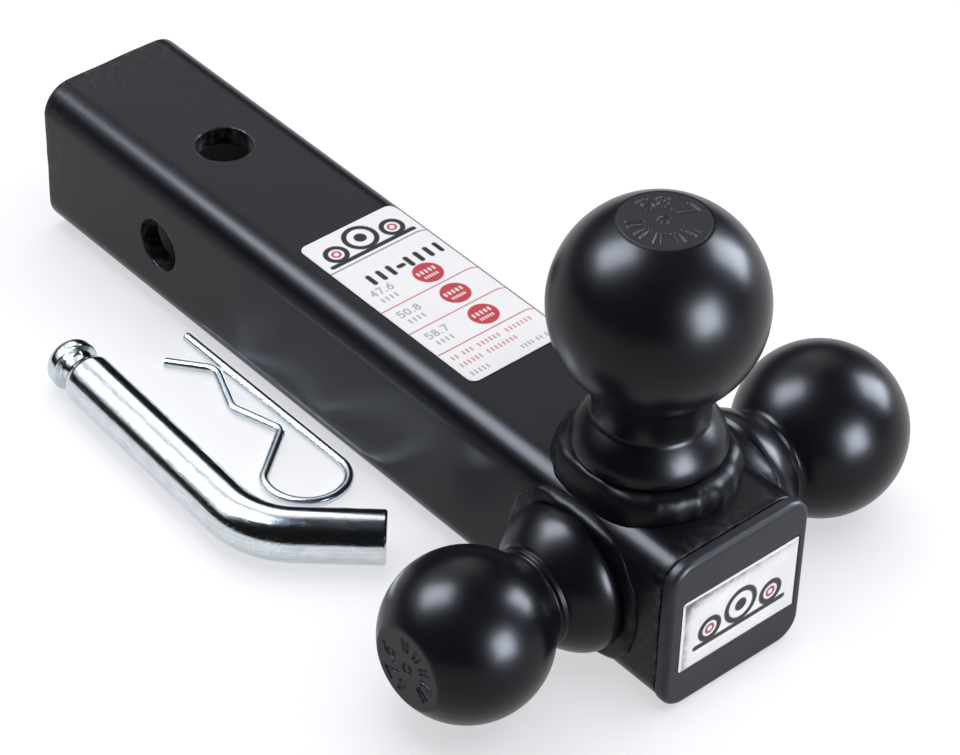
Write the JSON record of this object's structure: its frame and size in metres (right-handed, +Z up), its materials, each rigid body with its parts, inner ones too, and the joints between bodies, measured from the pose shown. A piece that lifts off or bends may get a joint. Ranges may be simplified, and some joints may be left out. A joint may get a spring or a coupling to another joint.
{
  "type": "trailer hitch ball mount",
  "caption": "Hollow square receiver shank with three welded towing balls of different sizes, a plastic end cap, and a bent hitch pin and spring clip lying beside it.",
  "frame": {"origin": "on the underside of the shank, straight below the axis of the largest ball", "axes": "+X along the shank towards the balls and the end cap, +Y towards the 2 inch ball, +Z up through the largest ball"},
  "size_m": [0.2778, 0.1736, 0.1322],
  "materials": {
    "tube_powder_coat": "satin black powder coat",
    "ball_enamel": "semi-gloss black enamel over forged steel",
    "cap_plastic": "moulded black plastic",
    "badge_silver": "silver foil under clear resin",
    "label_film": "printed white film",
    "zinc_plate": "bright zinc plate"
  },
  "bodies": {
    "mount": {"shank_tube": "tube_powder_coat", "ball_2_5_16_in": "ball_enamel", "ball_2_in": "ball_enamel", "ball_1_7_8_in": "ball_enamel", "weld_ball_2_5_16_in": "ball_enamel", "weld_ball_2_in": "ball_enamel", "weld_ball_1_7_8_in": "ball_enamel", "end_cap": "cap_plastic", "cap_badge": "badge_silver", "shank_label": "label_film"},
    "pin": {"hitch_pin": "zinc_plate"},
    "clip": {"hitch_clip": "zinc_plate"}
  },
  "joints": [
    {"name": "pin_lift", "type": "slide", "parent": "mount", "child": "pin", "axis": [0, 0, 1], "range_m": [0, 0.12]},
    {"name": "clip_lift", "type": "slide", "parent": "mount", "child": "clip", "axis": [0, 0, 1], "range_m": [0, 0.12]}
  ]
}
